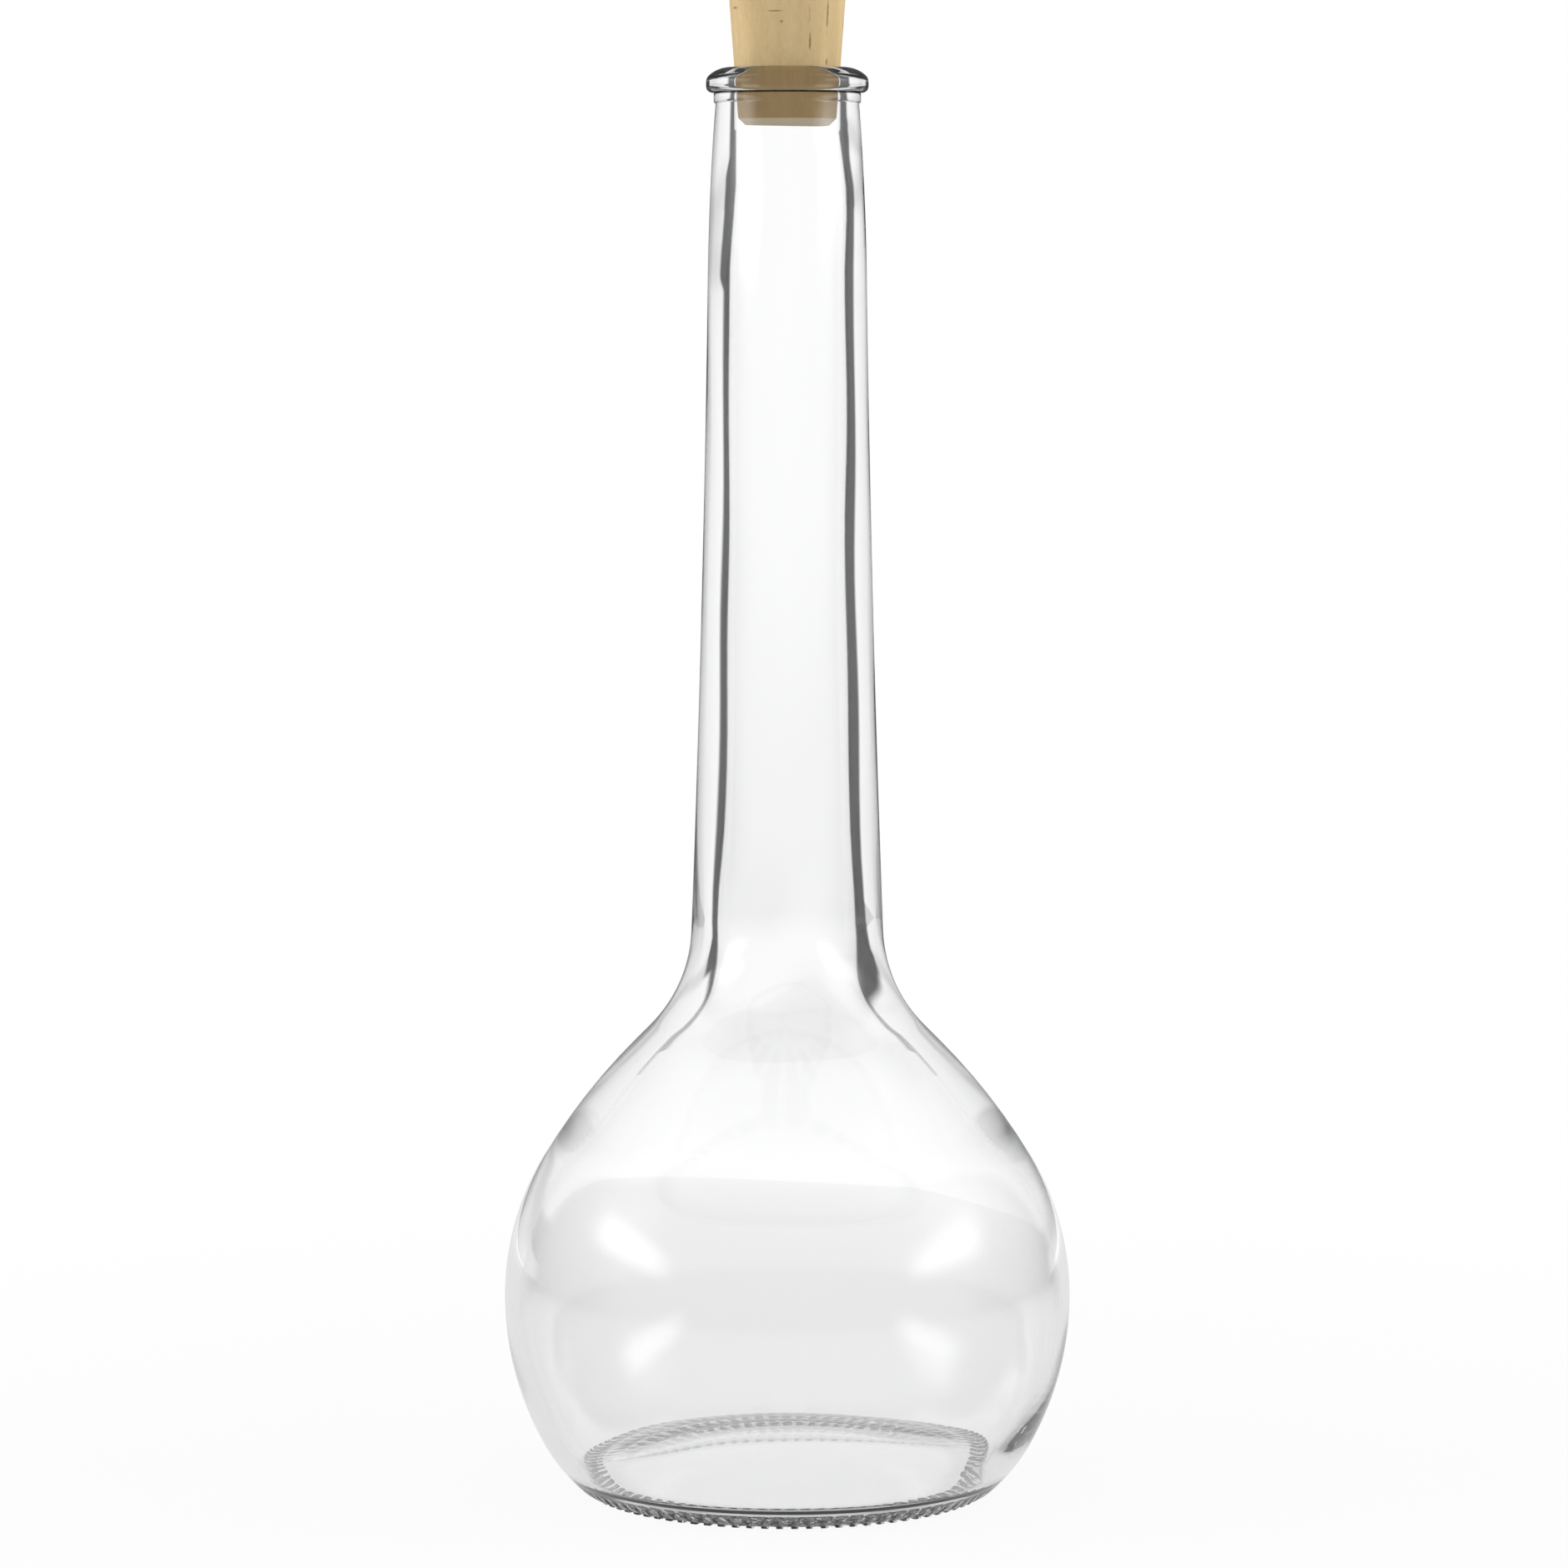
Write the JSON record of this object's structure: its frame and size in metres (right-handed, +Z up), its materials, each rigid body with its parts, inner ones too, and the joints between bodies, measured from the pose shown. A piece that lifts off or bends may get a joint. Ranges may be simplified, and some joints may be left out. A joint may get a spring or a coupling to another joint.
{
  "type": "glass bottle",
  "caption": "Clear glass genie bottle: round belly, long slender neck, ring lip and knurled base, closed with a tapered natural cork.",
  "frame": {"origin": "centre of the circle of knurls that the bottle stands on, at table height", "axes": "+Z up along the axis of the bottle to the mouth; the bottle is round, so +X and +Y are any two directions square to it"},
  "size_m": [0.1052, 0.1052, 0.2798],
  "materials": {
    "clear_glass": "clear, fire polished",
    "natural_cork": "matt natural cork"
  },
  "bodies": {
    "bottle_body": {"bottle": "clear_glass"},
    "cork_body": {"cork_stopper": "natural_cork"}
  },
  "joints": [
    {"name": "cork_pull", "type": "slide", "parent": "bottle_body", "child": "cork_body", "axis": [0, 0, 1], "range_m": [0, 0.04]}
  ]
}
